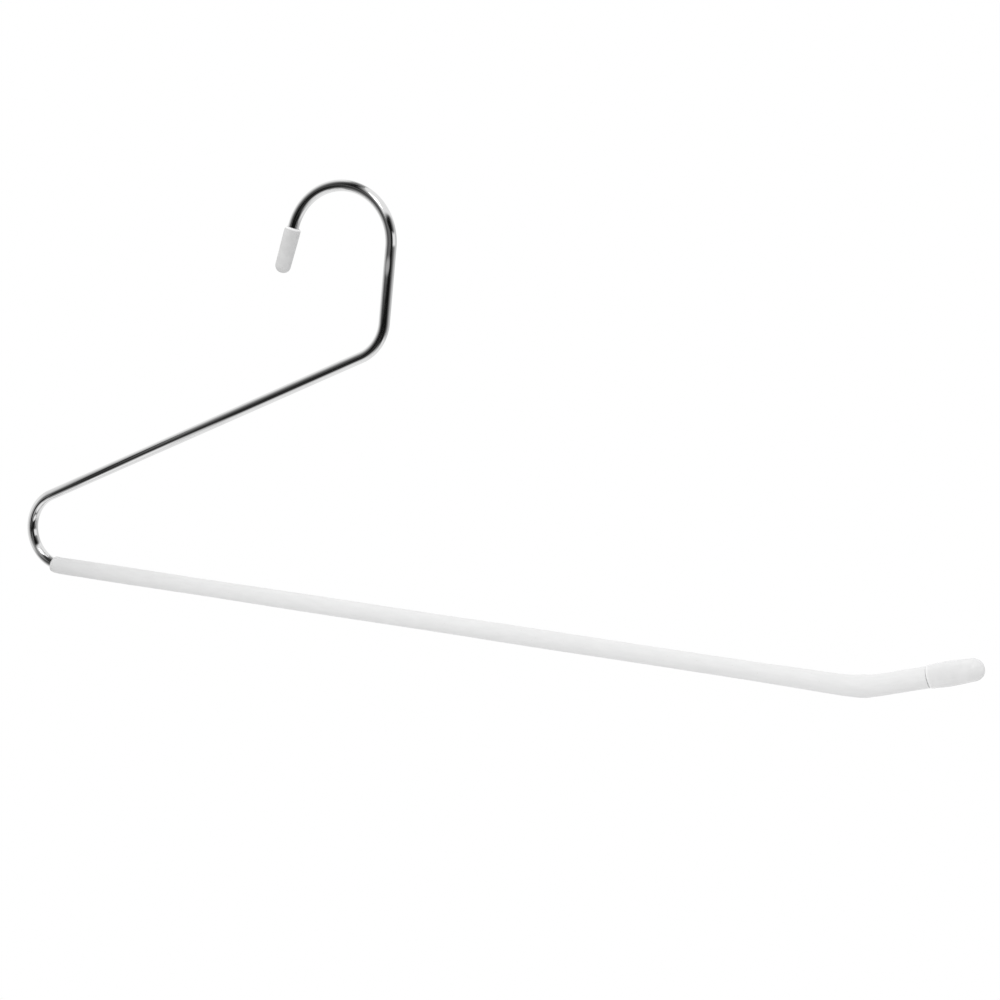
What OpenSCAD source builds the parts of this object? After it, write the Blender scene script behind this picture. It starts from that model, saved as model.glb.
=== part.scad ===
// Open-ended trouser hanger: one bent chrome-plated wire, a soft sleeve on its bar and a cap on each
// end of the wire. The origin is the seat inside the top of the hook's bow, +X runs along the bar
// towards its open end, +Y across the hanger along the rail, and +Z is up. Bend radii are to the
// wire's centre line, and a bend angle is positive where the wire turns left, seen from -Y.

/* [Wire] */
// Diameter of the chrome-plated wire
wire_d = 4; // [3:0.1:5]
// Bevel on the wire's two cut ends
wire_bevel = 0.4; // [0.2:0.1:0.8]
// Loss of diameter where the stock is stretched round a bend
bend_thinning = 0.04; // [0.02:0.01:0.1]
// Length by which a bend laps into the straight stretches at its ends
bend_lap = 0.1; // [0.05:0.05:0.2]

/* [Trouser bar] */
// Straight length of the bar, from the heel bend to the upturn
bar_len = 300; // [240:5:340]
// Bend radius of the upturn
upturn_r = 42; // [20:1:60]
// Angle by which the bar's open end turns up
upturn_angle = 18; // [8:1:30]
// Straight wire beyond the upturn, to its cut end
upturn_len = 30; // [24:0.5:45]

/* [Heel and arm] */
// Bend radius of the heel
heel_r = 14; // [10:0.5:20]
// Angle of the arm above the bar
arm_angle = 26; // [18:1:35]
// Straight length of the arm, from the heel to the shoulder bend
arm_len = 143.5; // [110:0.5:170]

/* [Neck and hook] */
// Bend radius of the shoulder
shoulder_r = 14.5; // [8:0.5:20]
// Angle of the neck above the bar
neck_angle = 88; // [80:1:100]
// Straight length of the neck, from the shoulder to the hook's bow
neck_len = 26; // [15:0.5:50]
// Bend radius of the hook's bow
hook_r = 19.5; // [15:0.5:28]
// Angle that the hook's bow turns through
hook_sweep = 168; // [140:1:190]
// Straight wire beyond the bow, to its cut end
tip_len = 15; // [11:0.5:24]

/* [Bar sleeve] */
// Radial gap between the sleeve's bore and the wire
sleeve_gap = 0.05; // [0.03:0.01:0.2]
// Wall of the sleeve along the bar
sleeve_wall = 1.05; // [0.6:0.05:2]
// Wall of the sleeve where it is swollen round the upturn
sleeve_end_wall = 1.4; // [0.8:0.05:2.4]
// Length of bar over which the sleeve swells
sleeve_swell_len = 38; // [10:1:80]
// Length of the heel bend that the sleeve covers
sleeve_wrap = 3; // [1:0.5:12]
// Length of sleeve beyond the upturn
sleeve_tail = 14.5; // [6:0.5:18]
// Bevel round the sleeve's outer edges
sleeve_bevel = 0.5; // [0.1:0.05:0.5]

/* [Caps] */
// Radial gap between a cap's bore and the wire
cap_gap = 0.05; // [0.02:0.01:0.2]
// Gap between the wire's cut end and the bottom of a cap's bore
cap_end_gap = 0.2; // [0.05:0.05:0.5]
// Bevel round the outer edge of a cap's mouth
cap_bevel = 0.3; // [0.1:0.05:0.4]
// Bare straight wire between the hook's bow and the tip cap
tip_cap_offset = 0.8; // [0.2:0.1:3]
// Wall of the tip cap at its mouth
tip_cap_wall = 0.8; // [0.6:0.05:2]
// Wall of the tip cap where its nose begins
tip_cap_nose_wall = 0.65; // [0.5:0.05:1.8]
// Thickness of the tip cap's closed end
tip_cap_floor = 2; // [1:0.1:4]
// Rounding of the tip cap's nose
tip_cap_nose_r = 2.5; // [0.6:0.1:2.7]
// Groove between the sleeve's end and the bar's end cap
end_cap_offset = 0.3; // [0.1:0.05:1]
// Wall of the bar's end cap at its mouth
end_cap_wall = 1.85; // [0.8:0.05:3]
// Wall of the bar's end cap where its nose begins
end_cap_nose_wall = 1.7; // [0.7:0.05:2.9]
// Thickness of the end cap's closed end
end_cap_floor = 2; // [1:0.1:4]
// Rounding of the end cap's nose
end_cap_nose_r = 3.4; // [0.6:0.1:3.7]

/* [Hidden] */
$fn = 64;
nose_steps = 10;

function ahead(heading) = [cos(heading), sin(heading)];
function left(heading) = [-sin(heading), cos(heading)];

// Angle of an arc of the centre line with a given length and radius
function arc_angle(length, radius) = length / radius * 180 / PI;

// Turns of the wire on its way from the bar to the hook's tip
heel_turn = arm_angle - 180;
shoulder_turn = neck_angle - arm_angle;

// Points of the centre line in the hanger's plane, from the bar's start at the heel bend
arm_start = heel_r * (left(0) + left(arm_angle));
arm_end = arm_start + arm_len * ahead(arm_angle);
neck_start = arm_end + shoulder_r * (left(arm_angle) - left(neck_angle));
neck_end = neck_start + neck_len * ahead(neck_angle);
bow_centre = neck_end + hook_r * left(neck_angle);
seat = bow_centre + [0, hook_r - (wire_d - bend_thinning) / 2];
tip_heading = neck_angle + hook_sweep;
tip_start = bow_centre - hook_r * left(tip_heading);
upturn_end = [bar_len, 0] + upturn_r * (left(0) - left(upturn_angle));

// Fits of the sleeve and the caps on the wire
sleeve_bore = wire_d + 2 * sleeve_gap;
sleeve_d = sleeve_bore + 2 * sleeve_wall;
sleeve_end_d = sleeve_bore + 2 * sleeve_end_wall;
rim = min(sleeve_bevel, sleeve_wall / 2);
cap_bore = wire_d + 2 * cap_gap;
tip_cap_depth = tip_len - tip_cap_offset + cap_end_gap;
end_cap_start = sleeve_tail + end_cap_offset;
end_cap_depth = upturn_len - end_cap_start + cap_end_gap;

// Takes a point of the centre line and a heading to the row frame, heading along +X
module place(point, heading) {
    translate([point[0] - seat[0], 0, point[1] - seat[1]])
        rotate([0, -heading, 0])
            children();
}

// Straight stretch of round stock along +X, its children at the far end
module run(length, d, far_d = 0, bore = 0) {
    end_d = far_d > 0 ? far_d : d;
    rotate([0, 90, 0])
        rotate_extrude()
            polygon([[bore / 2, 0], [d / 2, 0], [end_d / 2, length], [bore / 2, length]]);
    translate([length, 0, 0]) children();
}

// Bend of round stock that sets out along +X, its children at the far end
module bend(radius, angle, d, bore = 0) {
    side = sign(angle);
    lap_angle = arc_angle(bend_lap, radius);
    translate([0, 0, side * radius])
        rotate([side * 90, 0, 0])
            rotate([0, 0, -90 - lap_angle])
                rotate_extrude(angle = abs(angle) + 2 * lap_angle)
                    translate([radius, 0])
                        difference() {
                            circle(d = d - bend_thinning);
                            if (bore > 0) circle(d = bore + bend_thinning);
                        }
    translate([0, 0, side * radius])
        rotate([0, -angle, 0])
            translate([0, 0, -side * radius])
                children();
}

// Cap with a blind bore along +X, its mouth at the start and its rounded nose ahead
module cap(wall, nose_wall, depth, floor_t, nose_r) {
    mouth_r = cap_bore / 2 + wall;
    side_r = cap_bore / 2 + nose_wall;
    round_r = min(nose_r, side_r, floor_t + depth);
    nose_x = depth + floor_t - round_r;
    nose = [for (i = [0 : nose_steps]) [side_r - round_r, nose_x] + round_r * ahead(90 * i / nose_steps)];
    rotate([0, 90, 0])
        rotate_extrude()
            polygon(concat(
                [[cap_bore / 2, 0], [mouth_r - cap_bevel, 0], [mouth_r, cap_bevel]],
                nose,
                [[0, depth + floor_t], [0, depth], [cap_bore / 2, depth]]));
}

// Last stretch of the wire, bevelled at its cut
module wire_end(length) {
    run(length - wire_bevel, wire_d)
        run(wire_bevel, wire_d, far_d = wire_d - 2 * wire_bevel);
}

// Bevelled rim at an end of the sleeve
module sleeve_rim(d) {
    run(rim, d, far_d = d - 2 * rim, bore = sleeve_bore);
}

module wire_frame() {
    color("silver") {
        place([0, 0], 0)
            run(bar_len, wire_d)
                bend(upturn_r, upturn_angle, wire_d)
                    wire_end(upturn_len);
        place([0, 0], 180)
            bend(heel_r, heel_turn, wire_d)
                run(arm_len, wire_d)
                    bend(shoulder_r, shoulder_turn, wire_d)
                        run(neck_len, wire_d)
                            bend(hook_r, hook_sweep, wire_d)
                                wire_end(tip_len);
    }
}

module bar_sleeve() {
    color("whitesmoke") {
        place([0, 0], 0)
            run(bar_len - sleeve_swell_len, sleeve_d, bore = sleeve_bore)
                run(sleeve_swell_len, sleeve_d, far_d = sleeve_end_d, bore = sleeve_bore)
                    bend(upturn_r, upturn_angle, sleeve_end_d, sleeve_bore)
                        run(sleeve_tail - rim, sleeve_end_d, bore = sleeve_bore)
                            sleeve_rim(sleeve_end_d);
        place([0, 0], 180)
            bend(heel_r, -arc_angle(sleeve_wrap, heel_r), sleeve_d, sleeve_bore)
                sleeve_rim(sleeve_d);
    }
}

module hook_tip_cap() {
    color("gainsboro")
        place(tip_start + tip_cap_offset * ahead(tip_heading), tip_heading)
            cap(tip_cap_wall, tip_cap_nose_wall, tip_cap_depth, tip_cap_floor, tip_cap_nose_r);
}

module bar_end_cap() {
    color("white")
        place(upturn_end + end_cap_start * ahead(upturn_angle), upturn_angle)
            cap(end_cap_wall, end_cap_nose_wall, end_cap_depth, end_cap_floor, end_cap_nose_r);
}

wire_frame();
bar_sleeve();
hook_tip_cap();
bar_end_cap();
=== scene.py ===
from math import cos, degrees, exp, hypot, pi, radians, sin

import bmesh
import bpy
from mathutils import Matrix, Vector


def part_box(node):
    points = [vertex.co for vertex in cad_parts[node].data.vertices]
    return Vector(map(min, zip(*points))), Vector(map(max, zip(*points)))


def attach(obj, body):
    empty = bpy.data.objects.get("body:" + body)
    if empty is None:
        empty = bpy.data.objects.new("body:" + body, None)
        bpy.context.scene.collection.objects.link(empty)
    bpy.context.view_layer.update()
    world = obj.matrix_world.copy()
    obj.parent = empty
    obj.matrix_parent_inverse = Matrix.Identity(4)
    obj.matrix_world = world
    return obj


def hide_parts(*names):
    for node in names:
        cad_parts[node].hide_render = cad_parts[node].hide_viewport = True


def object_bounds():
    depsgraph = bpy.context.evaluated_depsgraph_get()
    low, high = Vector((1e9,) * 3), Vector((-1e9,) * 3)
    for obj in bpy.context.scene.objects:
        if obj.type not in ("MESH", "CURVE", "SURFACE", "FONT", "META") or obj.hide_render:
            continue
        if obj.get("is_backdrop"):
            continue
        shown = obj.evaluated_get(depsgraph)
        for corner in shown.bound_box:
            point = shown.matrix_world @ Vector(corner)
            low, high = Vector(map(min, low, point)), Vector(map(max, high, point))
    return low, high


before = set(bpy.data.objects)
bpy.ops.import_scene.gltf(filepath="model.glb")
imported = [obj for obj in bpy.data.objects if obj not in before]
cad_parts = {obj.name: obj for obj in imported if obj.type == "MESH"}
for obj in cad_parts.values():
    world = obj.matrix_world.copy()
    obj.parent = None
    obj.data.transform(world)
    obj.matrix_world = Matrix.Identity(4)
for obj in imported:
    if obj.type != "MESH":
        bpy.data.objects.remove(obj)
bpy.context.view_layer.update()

print("packed hanger loaded")

# Everything is modelled in millimetres in the hanger's own plane, with the bar's start at the heel as
# zero, X along the bar and Z up. layDown() takes a finished piece to metres, with the hook's seat as
# zero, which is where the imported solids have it.
mm = 0.001
meshing = dict(
    bendStep=1.5,  # degrees of bend from one ring to the next
    weld=0.0005,  # points nearer to each other than this become one
    sharpFrom=40,  # degrees between two faces from which their edge stays sharp
)
# Lengths, bend radii and turns of the wire's centre line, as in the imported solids
line = dict(
    barLong=300, upturnRadius=42, upturnTurn=18, endLong=30,
    heelRadius=14, armRise=26, armLong=143.5,
    shoulderRadius=14.5, neckRise=88, neckLong=26,
    hookRadius=19.5, hookSweep=168, tipLong=15,
)


def ahead(heading):
    return Vector((cos(radians(heading)), 0, sin(radians(heading))))


def aside(heading):  # square to the heading, on its left seen from the front
    return Vector((-sin(radians(heading)), 0, cos(radians(heading))))


# Where the wire's centre line turns
armStart = line["heelRadius"] * (aside(0) + aside(line["armRise"]))
armEnd = armStart + line["armLong"] * ahead(line["armRise"])
neckStart = armEnd + line["shoulderRadius"] * (aside(line["armRise"]) - aside(line["neckRise"]))
neckEnd = neckStart + line["neckLong"] * ahead(line["neckRise"])
bowCentre = neckEnd + line["hookRadius"] * aside(line["neckRise"])
tipHeading = line["neckRise"] + line["hookSweep"]
tipStart = bowCentre - line["hookRadius"] * aside(tipHeading)
upturnStart = line["barLong"] * ahead(0)
upturnEnd = upturnStart + line["upturnRadius"] * (aside(0) - aside(line["upturnTurn"]))


class Bender:
    # Pushes a ring of edges along the centre line, straight on or round a bend, as a wire bender feeds
    # stock. Each point keeps the place it would have on straight stock in "unbent", for the materials.

    def __init__(self, mesh, place, heading, across, sides):
        self.mesh = mesh
        self.place = place.copy()
        self.heading = heading
        self.across = across
        self.fed = 0.0  # length of stock so far
        layers = mesh.verts.layers.float_vector
        self.unbent = layers.get("unbent") or layers.new("unbent")
        axes = Matrix((aside(heading), Vector((0, -1, 0)), ahead(heading))).transposed().to_4x4()
        spot = Matrix.Translation(place) @ axes
        hoop = bmesh.ops.create_circle(mesh, segments=sides, radius=across / 2, matrix=spot)
        self.points = hoop["verts"]
        self.ring = [edge for edge in mesh.edges if not edge.link_faces and edge.verts[0] in self.points]
        self.firstRing = self.ring
        self.note()

    def note(self):
        for point in self.points:
            offset = point.co - self.place
            point[self.unbent] = (self.fed, offset.dot(aside(self.heading)), offset.y)

    def take(self, made, across):
        self.points = [part for part in made if isinstance(part, bmesh.types.BMVert)]
        self.ring = [part for part in made if isinstance(part, bmesh.types.BMEdge) and part.is_boundary]
        if across and across != self.across:
            back = Matrix.Translation(-self.place)
            bmesh.ops.scale(self.mesh, vec=(across / self.across,) * 3, space=back, verts=self.points)
            self.across = across
        self.note()

    def feed(self, length, across=None):
        made = bmesh.ops.extrude_edge_only(self.mesh, edges=self.ring)["geom"]
        points = [part for part in made if isinstance(part, bmesh.types.BMVert)]
        bmesh.ops.translate(self.mesh, vec=length * ahead(self.heading), verts=points)
        self.place += length * ahead(self.heading)
        self.fed += length
        self.take(made, across)

    def bend(self, radius, turn, girth=None):  # girth gives the diameter after a length of stock
        side = 1 if turn > 0 else -1
        centre = self.place + side * radius * aside(self.heading)
        steps = round(abs(turn) / meshing["bendStep"]) or 1
        for _ in range(steps):
            made = bmesh.ops.spin(
                self.mesh, geom=self.ring, cent=centre, axis=(0, -side, 0),
                angle=radians(abs(turn)) / steps, steps=1, use_merge=False,
            )["geom_last"]
            self.heading += turn / steps
            self.place = centre - side * radius * aside(self.heading)
            self.fed += radius * radians(abs(turn)) / steps
            self.take(made, girth and girth(self.fed))


def roundOff(bender, across, rim, opening, steps=6):
    # takes a tube's end round its rim, opening from the end face to the full size or closing to the face
    for step in range(steps):
        low, high = radians(90 * step / steps), radians(90 * (step + 1) / steps)
        if opening:
            bender.feed(rim * (cos(low) - cos(high)), across - 2 * rim * (1 - sin(high)))
        else:
            bender.feed(rim * (sin(high) - sin(low)), across - 2 * rim * (1 - cos(high)))


def addObject(name, mesh, finish):
    data = bpy.data.meshes.new(name)
    mesh.to_mesh(data)
    mesh.free()
    data.materials.append(finish)
    made = bpy.data.objects.new(name, data)
    bpy.context.scene.collection.objects.link(made)
    return made


def layDown(mesh, name, node, finish):
    bmesh.ops.remove_doubles(mesh, verts=mesh.verts[:], dist=meshing["weld"])
    bmesh.ops.recalc_face_normals(mesh, faces=mesh.faces[:])
    seat = bowCentre + Vector((0, 0, line["hookRadius"] - (wire["across"] - wire["bendThinning"]) / 2))
    bmesh.ops.translate(mesh, vec=-seat, verts=mesh.verts[:])
    bmesh.ops.scale(mesh, vec=(mm,) * 3, verts=mesh.verts[:])
    piece = addObject(name, mesh, finish)
    data = piece.data
    data.shade_smooth()
    data.set_sharp_from_angle(angle=radians(meshing["sharpFrom"]))
    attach(piece, "root")
    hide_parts(node)
    low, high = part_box(node)
    ownLow = Vector([min(point.co[axis] for point in data.vertices) for axis in range(3)])
    ownHigh = Vector([max(point.co[axis] for point in data.vertices) for axis in range(3)])
    proud = max(max(low - ownLow), max(ownHigh - high)) / mm
    print(f"{name}: {len(data.polygons)} faces, {proud:.2f} mm outside its solid's box at most")


class Plug:
    # One socket in a node tree, or none at its start. Arithmetic on plugs adds Math nodes, and node()
    # adds any other: its settings are set first, then its inputs get their values or links.

    def __init__(self, tree, socket=None):
        self.tree, self.socket = tree, socket

    def node(self, kind, settings=None, inputs=None, output=0):
        made = self.tree.nodes.new(kind)
        for name, value in (settings or {}).items():
            setattr(made, name, value)
        for name, value in (inputs or {}).items():
            if isinstance(value, Plug):
                self.tree.links.new(value.socket, made.inputs[name])
            else:
                made.inputs[name].default_value = value
        return Plug(self.tree, made.outputs[output] if made.outputs else None)

    def maths(self, operation, first, second=0.0):
        return self.node("ShaderNodeMath", dict(operation=operation), {0: first, 1: second})

    def __add__(self, other):
        return self.maths("ADD", self, other)

    __radd__ = __add__

    def __sub__(self, other):
        return self.maths("SUBTRACT", self, other)

    def __rsub__(self, other):
        return self.maths("SUBTRACT", other, self)

    def __mul__(self, other):
        return self.maths("MULTIPLY", self, other)

    __rmul__ = __mul__

    def between(self, low, high, toLow=0.0, toHigh=1.0, smooth=True):  # fades from toLow to toHigh
        settings = dict(interpolation_type="SMOOTHSTEP" if smooth else "LINEAR")
        inputs = {"Value": self, "From Min": low, "From Max": high, "To Min": toLow, "To Max": toHigh}
        return self.node("ShaderNodeMapRange", settings, inputs)

    def inside(self, low, high, soft):
        return self.between(low - soft, low) * (1 - self.between(high, high + soft))

    def mixed(self, first, second):  # colours, which are a Mix node's sockets 6 and 7
        inputs = {0: self, 6: first, 7: second}
        return self.node("ShaderNodeMix", dict(data_type="RGBA"), inputs, output=2)

    def part(self, axis):  # X, Y or Z of a vector
        return self.node("ShaderNodeSeparateXYZ", None, {0: self}, output=axis)


def grey(level):
    return (level, level, level, 1)


def startFinish(name):
    finish = bpy.data.materials.new(name)
    finish.use_nodes = True
    finish.node_tree.nodes.clear()
    return finish, Plug(finish.node_tree)


def endFinish(start, inputs):
    shader = start.node("ShaderNodeBsdfPrincipled", None, inputs)
    start.node("ShaderNodeOutputMaterial", None, {"Surface": shader})


def unbentPoint(start):
    return start.node("ShaderNodeAttribute", dict(attribute_name="unbent"), output="Vector")


def noise(start, point, scale, detail=2.0, roughness=0.5, stretch=None):  # stretch scales each axis
    if stretch:
        point = start.node("ShaderNodeMapping", None, {"Vector": point, "Scale": stretch})
    inputs = {"Vector": point, "Scale": scale, "Detail": detail, "Roughness": roughness}
    return start.node("ShaderNodeTexNoise", None, inputs)


def bump(start, height, depth, under=None):  # depth in metres for a height of 1
    inputs = {"Height": height, "Strength": 1.0, "Distance": depth}
    if under:
        inputs["Normal"] = under
    return start.node("ShaderNodeBump", None, inputs)


# Chrome-plated wire
wire = dict(
    across=4, bendThinning=0.04, cutBevel=0.4, sides=64,
    bright=0.80, dull=0.74, speck=0.592,  # plating where it is cleanest and haziest, and its specks
    polish=0.03, haze=0.10, speckRough=0.1,  # roughness: cleanest, haziest, and what a speck adds
    hazeNoise=dict(scale=0.12, detail=3), hazeFade=(0.35, 0.7), hazeShare=0.6,
    drawnNoise=dict(scale=1, detail=3, stretch=(0.03, 4, 4)), drawnDeep=4e-7, drawnShare=0.3,
    speckNoise=dict(scale=2.6), speckFade=(0.72, 0.78),
    peelNoise=dict(scale=0.5, stretch=(0.35, 0.8, 0.8)), peelDeep=1.2e-5,
)


def chromePlate():
    finish, start = startFinish("chromePlate")
    point = unbentPoint(start)
    haze = noise(start, point, **wire["hazeNoise"]).between(*wire["hazeFade"])
    drawn = noise(start, point, **wire["drawnNoise"])
    specks = noise(start, point, **wire["speckNoise"]).between(*wire["speckFade"])
    dulled = haze * wire["hazeShare"] + drawn * wire["drawnShare"]
    colour = dulled.mixed(grey(wire["bright"]), grey(wire["dull"]))
    colour = specks.mixed(colour, grey(wire["speck"]))
    rough = haze.between(0, 1, wire["polish"], wire["haze"], smooth=False) + specks * wire["speckRough"]
    peel = noise(start, point, **wire["peelNoise"])
    normal = bump(start, drawn, wire["drawnDeep"], bump(start, peel, wire["peelDeep"]))
    endFinish(start, {"Base Color": colour, "Metallic": 1.0, "Roughness": rough, "Normal": normal})
    return finish


def makeWire(finish):
    mesh = bmesh.new()
    end = upturnEnd + line["endLong"] * ahead(line["upturnTurn"])
    cut = wire["cutBevel"]
    bender = Bender(mesh, end, 180 + line["upturnTurn"], wire["across"] - 2 * cut, wire["sides"])
    bmesh.ops.edgeloop_fill(mesh, edges=bender.ring)
    bender.feed(cut, wire["across"])
    bender.feed(line["endLong"] - cut)
    bender.bend(line["upturnRadius"], -line["upturnTurn"])
    bender.feed(line["barLong"])
    bender.bend(line["heelRadius"], line["armRise"] - 180)
    bender.feed(line["armLong"])
    bender.bend(line["shoulderRadius"], line["neckRise"] - line["armRise"])
    bender.feed(line["neckLong"])
    bender.bend(line["hookRadius"], line["hookSweep"])
    bender.feed(line["tipLong"] - cut)
    bender.feed(cut, wire["across"] - 2 * cut)
    bmesh.ops.edgeloop_fill(mesh, edges=bender.ring)
    layDown(mesh, "bentWire", "wire_frame", finish)


# Soft sleeve over the bar. Places along it are distances from its open end.
sleeve = dict(
    bore=4.1, across=6.2, endAcross=6.95, sides=64,
    wrap=3, tail=14.5,  # how far it covers the heel bend, and runs on past the upturn
    rim=0.6, openRim=0.22,  # rounding at the heel and at the open end
    swellFrom=65.7, swellTo=15.5,
    bulgeAt=20.8, bulge=0.5, bulgeWide=2.6,  # where it gathers in the upturn, on the diameter
    waveFrom=90, wave=0.2, waveLong=85,  # slow rise and fall of its diameter along the bar
    creaseAt=2.4, creaseDeep=0.06, creaseWide=0.3,
    creaseRings=24, tailRings=6, barRings=120,  # rings of the mesh on each stretch
    # edge is the painted highlight on the sleeve's rounded rim at the heel end
    white=0.84, shade=0.8, edge=0.94, speck=(0.66, 0.65, 0.62, 1),
    rough=0.42, roughCloud=0.08, roughGrain=0.1,
    cloudNoise=dict(scale=1, detail=3, stretch=(0.15, 0.6, 0.6)), cloudFade=(0.3, 0.7),
    cloudShare=0.7, cloudDeep=2e-5,
    lineNoise=dict(scale=1, stretch=(0.02, 2.5, 2.5)), lineShare=0.3, lineDeep=8e-6,
    grainNoise=dict(scale=7, detail=3, roughness=0.6), grainDeep=6e-6,
    speckNoise=dict(scale=1.7, detail=1), speckFade=(0.74, 0.78), speckShare=0.5,
    ior=1.45, specular=0.4,
    soft=0.15, softDeep=0.0008,  # share of light that goes below the skin, and how deep in metres
)


def softSkin():
    finish, start = startFinish("softSkin")
    point = unbentPoint(start)
    cloudy = noise(start, point, **sleeve["cloudNoise"]).between(*sleeve["cloudFade"])
    lines = noise(start, point, **sleeve["lineNoise"])
    grain = noise(start, point, **sleeve["grainNoise"])
    specks = noise(start, point, **sleeve["speckNoise"]).between(*sleeve["speckFade"])
    shaded = cloudy * sleeve["cloudShare"] + lines * sleeve["lineShare"]
    colour = shaded.mixed(grey(sleeve["white"]), grey(sleeve["shade"]))
    colour = (specks * sleeve["speckShare"]).mixed(colour, sleeve["speck"])
    # Painted highlight: the rounded rim at the heel end is painted paler, for the light that it catches
    upturnLong = line["upturnRadius"] * radians(line["upturnTurn"])
    mouth = sleeve["tail"] + upturnLong + line["barLong"] + sleeve["wrap"]
    rimHighlight = point.part("X").between(mouth, mouth + sleeve["rim"] / 2)
    colour = rimHighlight.mixed(colour, grey(sleeve["edge"]))
    rough = sleeve["rough"] + cloudy * sleeve["roughCloud"] + grain * sleeve["roughGrain"]
    under = bump(start, lines, sleeve["lineDeep"], bump(start, cloudy, sleeve["cloudDeep"]))
    normal = bump(start, grain, sleeve["grainDeep"], under)
    endFinish(start, {
        "Base Color": colour, "Roughness": rough, "Normal": normal,
        "IOR": sleeve["ior"], "Specular IOR Level": sleeve["specular"],
        "Subsurface Weight": sleeve["soft"], "Subsurface Radius": (1, 1, 1),
        "Subsurface Scale": sleeve["softDeep"],
    })
    return finish


def sleeveGirth(fed):
    part = min(max((sleeve["swellFrom"] - fed) / (sleeve["swellFrom"] - sleeve["swellTo"]), 0), 1)
    eased = part * part * (3 - 2 * part)
    swollen = sleeve["across"] + (sleeve["endAcross"] - sleeve["across"]) * eased
    crease = exp(-(((fed - sleeve["creaseAt"]) / sleeve["creaseWide"]) ** 2))
    bulge = exp(-(((fed - sleeve["bulgeAt"]) / sleeve["bulgeWide"]) ** 2))
    wave = sin(pi * max(fed - sleeve["waveFrom"], 0) / sleeve["waveLong"]) ** 2
    return swollen - 2 * sleeve["creaseDeep"] * crease + sleeve["bulge"] * bulge + sleeve["wave"] * wave


def feedSleeve(outer, length, rings):
    for _ in range(rings):
        outer.feed(length / rings, sleeveGirth(outer.fed + length / rings))


def makeSleeve(finish):
    mesh = bmesh.new()
    end = upturnEnd + sleeve["tail"] * ahead(line["upturnTurn"])
    heading = 180 + line["upturnTurn"]
    rim, openRim = sleeve["rim"], sleeve["openRim"]
    wrapTurn = degrees(sleeve["wrap"] / line["heelRadius"])
    outer = Bender(mesh, end, heading, sleeveGirth(0) - 2 * openRim, sleeve["sides"])
    roundOff(outer, sleeveGirth(openRim), openRim, opening=True)
    feedSleeve(outer, 2 * sleeve["creaseAt"] - openRim, sleeve["creaseRings"])
    feedSleeve(outer, sleeve["tail"] - outer.fed, sleeve["tailRings"])
    outer.bend(line["upturnRadius"], -line["upturnTurn"], sleeveGirth)
    feedSleeve(outer, line["barLong"], sleeve["barRings"])
    outer.bend(line["heelRadius"], -wrapTurn)
    roundOff(outer, outer.across, rim, opening=False)
    bore = Bender(mesh, end, heading, sleeve["bore"], sleeve["sides"])
    bore.feed(sleeve["tail"])
    bore.bend(line["upturnRadius"], -line["upturnTurn"])
    bore.feed(line["barLong"])
    bore.bend(line["heelRadius"], -wrapTurn)
    bore.feed(rim)
    bmesh.ops.bridge_loops(mesh, edges=outer.firstRing + bore.firstRing)
    bmesh.ops.bridge_loops(mesh, edges=outer.ring + bore.ring)
    layDown(mesh, "barSleeve", "bar_sleeve", finish)


# Caps on the wire's two cut ends: mouth at the start, closed nose ahead. The outside is a list of
# corners: distance from the mouth, diameter, length rounded off on both sides, segments of the rounding.
tipCap = dict(
    offset=0.8, bore=4.1, boreDeep=14.4, floor=2, sides=64, askew=0,
    innerRound=(0.12, 3),  # rounding of the bore's edge, and its segments
    outside=((0, 5.6, 0.6, 6), (2.2, 5.8, 0.8, 4), (16.4, 5.4, 2.5, 12)),
    tone=0.69, shade=0.63, edge=0.95, rimHighlightFade=(0.3, 0.9),  # the edge is a painted highlight on the rim round the mouth, fading out between the two distances
    rough=0.5, roughCloud=0, roughGrain=0.15,
    cloudNoise=dict(scale=0.35, detail=3), cloudFade=(0.3, 0.7), cloudDeep=2e-5,
    grainNoise=dict(scale=6, detail=3, roughness=0.6), grainDeep=5e-6,
    ior=1.46, specular=0.35, soft=0, softDeep=0.0008,
)
endCap = dict(
    offset=14.72, bore=4.1, boreDeep=15.4, floor=2, sides=64,
    askew=1.5,  # degrees by which the mouth's face leans towards the sleeve at its top
    innerRound=(0.12, 3),
    outside=(
        (0, 7.15, 0.25, 4), (1.2, 7.6, 0.25, 4), (1.8, 7.45, 0.25, 4), (2.6, 7.65, 0.35, 4),
        (5, 7.96, 1.2, 5), (8, 7.94, 1.3, 5), (12.6, 7.36, 1.2, 5), (17.4, 7, 3.3, 12)),
    # edge is a painted highlight on the lip round the mouth
    tone=0.82, shade=0.78, edge=0.87, rimHighlightFade=(0.367, 1.1),
    rough=0.16, roughCloud=0.05, roughGrain=0.05,
    cloudNoise=dict(scale=0.3, detail=3), cloudFade=(0.3, 0.7), cloudDeep=1.5e-5,
    grainNoise=dict(scale=5), grainDeep=1.5e-6,
    ior=1.48, specular=0.5, soft=0.1, softDeep=0.0008,
)
capMesh = dict(
    onHoop=0.01,  # how near to a corner of the outline a point counts as on its hoop
    lipLong=1, lipClear=0.2,  # what leans with the mouth: this far along at most, this far off the bore
)


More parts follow.
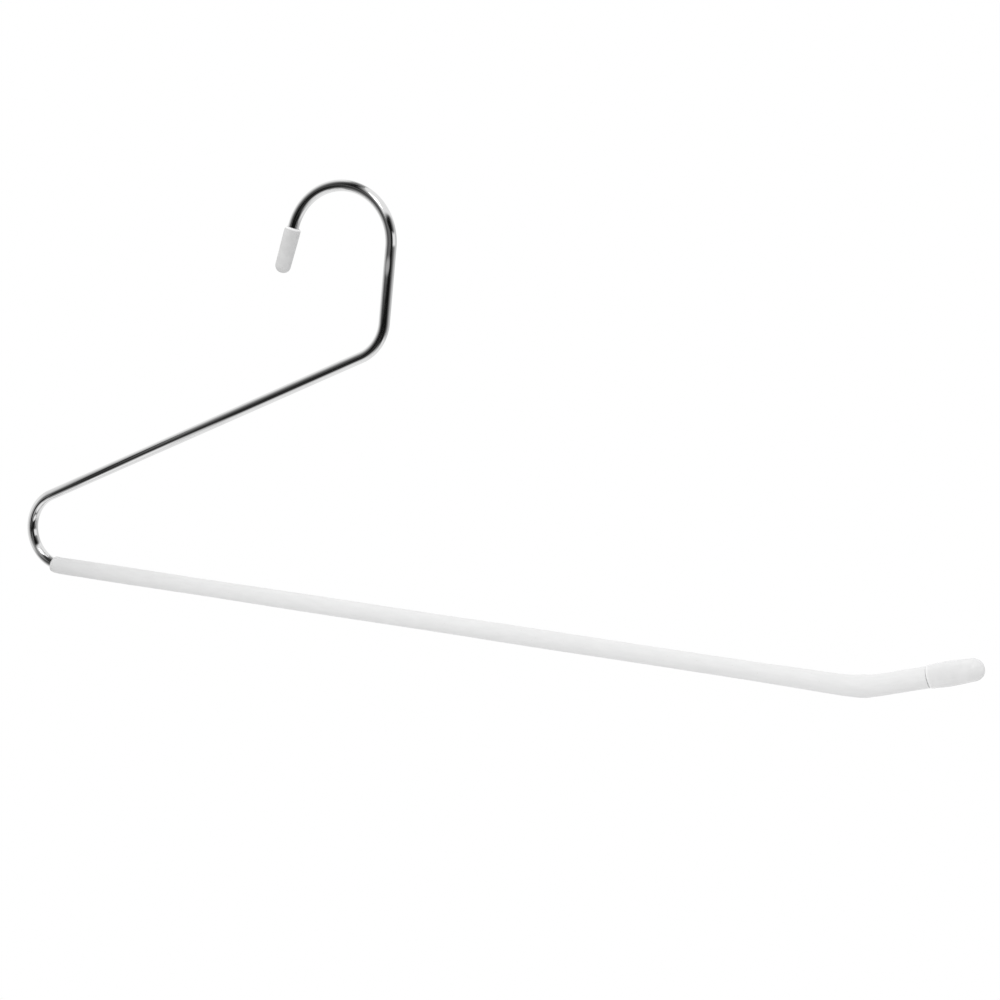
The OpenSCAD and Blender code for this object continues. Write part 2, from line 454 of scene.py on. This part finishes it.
def capPlastic(name, cap):
    finish, start = startFinish(name)
    point = unbentPoint(start)
    cloudy = noise(start, point, **cap["cloudNoise"]).between(*cap["cloudFade"])
    grain = noise(start, point, **cap["grainNoise"])
    colour = cloudy.mixed(grey(cap["tone"]), grey(cap["shade"]))
    # Painted highlight: the rim round the mouth is painted paler, for the light that it catches
    colour = point.part("X").between(*cap["rimHighlightFade"]).mixed(grey(cap["edge"]), colour)
    rough = cap["rough"] + cloudy * cap["roughCloud"] + grain * cap["roughGrain"]
    normal = bump(start, grain, cap["grainDeep"], bump(start, cloudy, cap["cloudDeep"]))
    endFinish(start, {
        "Base Color": colour, "Roughness": rough, "Normal": normal,
        "IOR": cap["ior"], "Specular IOR Level": cap["specular"],
        "Subsurface Weight": cap["soft"], "Subsurface Radius": (1, 1, 1),
        "Subsurface Scale": cap["softDeep"],
    })
    return finish


def isOn(point, along, out):  # on the hoop that a corner of the cap's outline has drawn
    off = hypot(point.co.x - along, hypot(point.co.y, point.co.z) - out)
    return off < capMesh["onHoop"]


def makeCap(cap, place, heading, name, node, finish):
    mesh = bmesh.new()
    unbent = mesh.verts.layers.float_vector.new("unbent")
    bore, deep = cap["bore"] / 2, cap["boreDeep"]
    outside = [(along, across / 2) for along, across, _, _ in cap["outside"]]
    outline = [(deep, 0), (deep, bore), (0, bore)] + outside + [(deep + cap["floor"], 0)]
    corners = [mesh.verts.new((along, 0, out)) for along, out in outline]
    edges = [mesh.edges.new(pair) for pair in zip(corners, corners[1:])]
    bmesh.ops.spin(
        mesh, geom=corners + edges, cent=(0, 0, 0), axis=(1, 0, 0), angle=2 * pi, steps=cap["sides"],
        use_merge=True)
    bmesh.ops.remove_doubles(mesh, verts=mesh.verts[:], dist=meshing["weld"])
    for along, across, size, segments in cap["outside"] + ((0, cap["bore"], *cap["innerRound"]),):
        out = across / 2
        hoop = [edge for edge in mesh.edges if all(isOn(point, along, out) for point in edge.verts)]
        bmesh.ops.bevel(
            mesh, geom=hoop, offset=size, segments=segments, profile=0.5, affect="EDGES", material=-1)
    for point in mesh.verts:
        point[unbent] = point.co
    clear = bore + capMesh["lipClear"]
    lip = [
        point for point in mesh.verts
        if point.co.x < capMesh["lipLong"] and hypot(point.co.y, point.co.z) > clear]
    lean = Matrix.Rotation(radians(-cap["askew"]), 4, "Y")
    hinge = Matrix.Translation((0, 0, cap["outside"][0][1] / 2))
    bmesh.ops.transform(mesh, matrix=hinge.inverted() @ lean @ hinge, verts=lip)
    turned = Matrix.Rotation(radians(-heading), 4, "Y")
    bmesh.ops.transform(mesh, matrix=Matrix.Translation(place) @ turned, verts=mesh.verts[:])
    layDown(mesh, name, node, finish)


makeWire(chromePlate())
makeSleeve(softSkin())
makeCap(
    tipCap, tipStart + tipCap["offset"] * ahead(tipHeading), tipHeading,
    "hookTipCap", "hook_tip_cap", capPlastic("tipPlastic", tipCap))
makeCap(
    endCap, upturnEnd + endCap["offset"] * ahead(line["upturnTurn"]), line["upturnTurn"],
    "barEndCap", "bar_end_cap", capPlastic("endPlastic", endCap))
print("pieces made")

# Studio: a white tent with its dark opening at the front, which the chrome mirrors, and a small pale
# floor. Azimuths are in degrees from the front towards +X, elevations in degrees, lengths in metres.
studio = dict(
    tent=0.96, opening=0.008,
    leftFade=(-116, -21), rightFade=(55, 182),  # azimuths of the opening's soft sides
    floorFade=(-80, -30),  # elevations of its soft lower edge
    roofTurn=84, roofSlope=0.67,  # white roof above a plane that climbs this steeply towards roofTurn
    roofRise=(0.1, 0.28), roofFade=(-24, 8),  # heights over that plane, and azimuths, where it fades in
    ambientLow=0.76, ambientHigh=1.08, ambientLean=40,  # for all but mirrors, brightest at the upper left
    floorDrop=1.5, floorRadius=1.4, floorSides=96, floorTone=0.86, floorGlow=0.2,
)
# Panels hung in the tent, as angles between which each is lit in full, and the softness of its edges
panels = (
    dict(azimuth=(71, 113), azimuthSoft=20, elevation=(2, 14), elevationSoft=5.5, level=0.96),
    dict(azimuth=(-140, -28), azimuthSoft=32, elevation=(74, 90), elevationSoft=10, level=0.2),
    dict(azimuth=(-172, -142), azimuthSoft=8, elevation=(56, 89), elevationSoft=9, level=0.4),
    dict(azimuth=(-18, 12), azimuthSoft=20, elevation=(-1, 11), elevationSoft=2.5, level=0.15),
    dict(azimuth=(-20, 25), azimuthSoft=14, elevation=(-40, -24), elevationSoft=10, level=0.03),
    dict(azimuth=(150, 168), azimuthSoft=12, elevation=(-20, 15), elevationSoft=8, level=0.66),
    dict(azimuth=(-73, -29), azimuthSoft=5.5, elevation=(-59, -46), elevationSoft=7, level=0.23),
    dict(azimuth=(97, 142), azimuthSoft=26, elevation=(-64, -40), elevationSoft=20, level=0.92),
)
# Lamp high at the front, in metres and watts
softbox = dict(azimuth=8, elevation=45, distance=1.2, wide=0.3, tall=0.36, power=1.4)


def direction(azimuth, elevation):
    turn, rise = radians(azimuth), radians(elevation)
    return Vector((sin(turn) * cos(rise), -cos(turn) * cos(rise), sin(rise)))


def lightPath(start, ray):
    return start.node("ShaderNodeLightPath", output=ray)


def makeTent():
    world = bpy.data.worlds.new("whiteTent")
    world.use_nodes = True
    world.node_tree.nodes.clear()
    bpy.context.scene.world = world
    start = Plug(world.node_tree)
    way = start.node("ShaderNodeTexCoord", output="Generated")
    east, north, up = way.part("X"), way.part("Y"), way.part("Z")
    azimuth = start.maths("ARCTAN2", east, 0 - north) * degrees(1)
    elevation = start.maths("ARCSINE", up) * degrees(1)
    roofSide = studio["roofSlope"] * direction(studio["roofTurn"], 0)
    rise = up - (east * roofSide.x + north * roofSide.y)
    roof = rise.between(*studio["roofRise"]) * azimuth.between(*studio["roofFade"])
    dark = (
        azimuth.between(*studio["leftFade"])
        * (1 - azimuth.between(*studio["rightFade"]))
        * elevation.between(*studio["floorFade"])
        * (1 - roof))
    mirrored = dark.between(0, 1, studio["tent"], studio["opening"], smooth=False)
    for panel in panels:
        across = azimuth.inside(*panel["azimuth"], panel["azimuthSoft"])
        share = across * elevation.inside(*panel["elevation"], panel["elevationSoft"])
        mirrored = mirrored + share * (panel["level"] - mirrored)
    glossy, seen = lightPath(start, "Is Glossy Ray"), lightPath(start, "Is Camera Ray")
    lean = radians(studio["ambientLean"])
    upperLeft = up * cos(lean) - east * sin(lean)
    ambient = upperLeft.between(-1, 1, studio["ambientLow"], studio["ambientHigh"], smooth=False)
    level = glossy * mirrored + (1 - glossy) * ambient
    level = seen + (1 - seen) * level
    sky = start.node("ShaderNodeBackground", None, {"Color": grey(1), "Strength": level})
    start.node("ShaderNodeOutputWorld", None, {"Surface": sky})


def makeFloor():
    mesh = bmesh.new()
    spot = Matrix.Translation((0, 0, -studio["floorDrop"]))
    bmesh.ops.create_circle(
        mesh, cap_ends=True, segments=studio["floorSides"], radius=studio["floorRadius"], matrix=spot)
    finish, start = startFinish("paleFloor")
    cloth = start.node("ShaderNodeBsdfDiffuse", None, {"Color": grey(studio["floorTone"])})
    seen = start.maths("MAXIMUM", lightPath(start, "Is Camera Ray"), lightPath(start, "Is Glossy Ray"))
    level = seen * studio["floorGlow"]
    glow = start.node("ShaderNodeEmission", None, {"Color": grey(1), "Strength": level})
    both = start.node("ShaderNodeAddShader", None, {0: cloth, 1: glow})
    start.node("ShaderNodeOutputMaterial", None, {"Surface": both})
    floor = addObject("paleFloor", mesh, finish)
    floor.visible_glossy = False  # the tent draws what the chrome sees below it
    floor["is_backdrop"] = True


def makeSoftbox():
    lamp = bpy.data.lights.new("softbox", "AREA")
    lamp.shape, lamp.energy = "RECTANGLE", softbox["power"]
    lamp.size, lamp.size_y = softbox["wide"], softbox["tall"]
    low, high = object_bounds()
    towards = direction(softbox["azimuth"], softbox["elevation"])
    holder = bpy.data.objects.new("softbox", lamp)
    holder.location = (low + high) / 2 + softbox["distance"] * towards
    holder.rotation_euler = towards.to_track_quat("Z", "Y").to_euler()
    bpy.context.scene.collection.objects.link(holder)


# Oval cards round the heel and one by the neck, which the chrome mirrors as its small light and dark
# patches. Millimetres from the hook's seat; the core is the share of a card that is lit in full.
heel = (-125, 0, -130)
cards = (
    dict(
        name="bounceCard", place=(-88, -34, -155), facing=(-88, -34, 0),
        wide=28, tall=68, level=1, core=0.5),
    dict(
        name="stripCard", place=(-100, -40, -182), facing=(-100, -40, 0),
        wide=50, tall=44, level=1, core=0.7),
    dict(
        name="armCard", place=(-105, -110, -235), facing=(-105, 0, -235),
        wide=96, tall=200, level=0.78, core=0.1),
    dict(
        name="sideCard", place=(-170, -13, -122), facing=heel,
        wide=96, tall=116, level=0.95, core=0.15),
    dict(
        name="lowSideCard", place=(-170, -38, -150), facing=(0, -38, -150),
        wide=88, tall=32, level=0.9, core=0.2),
    dict(
        name="greyCard", place=(-150, -30, -138), facing=heel,
        wide=32, tall=32, level=0.5, core=0.4),
    dict(
        name="lowCard", place=(-128, -15, -141), facing=(-128, 0, -141),
        wide=11, tall=8, level=0.3, core=0.5),
    dict(
        name="blackCard", place=(-130, -40, -86), facing=(-130, 0, -86),
        wide=34, tall=88, level=0.04, core=0.75),
    dict(
        name="neckCard", place=(17.6, -15, -25), facing=(19.3, 0, -25),
        wide=34, tall=9, level=0.42, core=0.3),
)
# Flag beyond the heel that only diffuse light sees, for the softer light on the sleeve's heel end
shadeFlag = dict(
    name="shadeFlag", place=(-140, 0, -147), facing=(0, 0, -147),
    wide=180, tall=180, level=0.35, core=0.9)
cardSides = 48


def makeCard(name, place, facing, wide, tall, level, core):
    mesh = bmesh.new()
    bmesh.ops.create_circle(mesh, cap_ends=True, segments=cardSides, radius=1)
    finish, start = startFinish(name)
    spot = start.node("ShaderNodeTexCoord", output="Object")
    reach = start.node("ShaderNodeVectorMath", dict(operation="LENGTH"), {0: spot}, output="Value")
    glow = start.node("ShaderNodeEmission", None, {"Color": grey(1), "Strength": level})
    nothing = start.node("ShaderNodeBsdfTransparent")
    both = start.node("ShaderNodeMixShader", None, {0: reach.between(core, 1), 1: glow, 2: nothing})
    start.node("ShaderNodeOutputMaterial", None, {"Surface": both})
    card = addObject(name, mesh, finish)
    card.location = Vector(place) * mm
    card.rotation_euler = (Vector(facing) - Vector(place)).to_track_quat("Z", "Y").to_euler()
    card.scale = (wide / 2 * mm, tall / 2 * mm, 1)
    card.visible_camera = card.visible_diffuse = card.visible_shadow = False
    card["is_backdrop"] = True
    return card


makeTent()
makeFloor()
for card in cards:
    makeCard(**card)
flag = makeCard(**shadeFlag)
flag.visible_diffuse, flag.visible_glossy = True, False
makeSoftbox()
print("studio lit")

camera = dict(
    place=(304.26, -568.66, -16.39),  # millimetres from the hook's seat
    turn=22.72, dip=7.78, roll=3.724,  # degrees
    lens=65.93, sensor=36, clip=(0.01, 20),
)


def makeCamera():
    data = bpy.data.cameras.new("camera")
    data.lens, data.sensor_width = camera["lens"], camera["sensor"]
    data.clip_start, data.clip_end = camera["clip"]
    holder = bpy.data.objects.new("camera", data)
    holder.matrix_world = (
        Matrix.Translation(Vector(camera["place"]) * mm)
        @ Matrix.Rotation(radians(camera["turn"]), 4, "Z")
        @ Matrix.Rotation(radians(90 - camera["dip"]), 4, "X")
        @ Matrix.Rotation(radians(camera["roll"]), 4, "Z"))
    bpy.context.scene.collection.objects.link(holder)
    bpy.context.scene.camera = holder


makeCamera()
bpy.context.scene.view_settings.view_transform = "Standard"
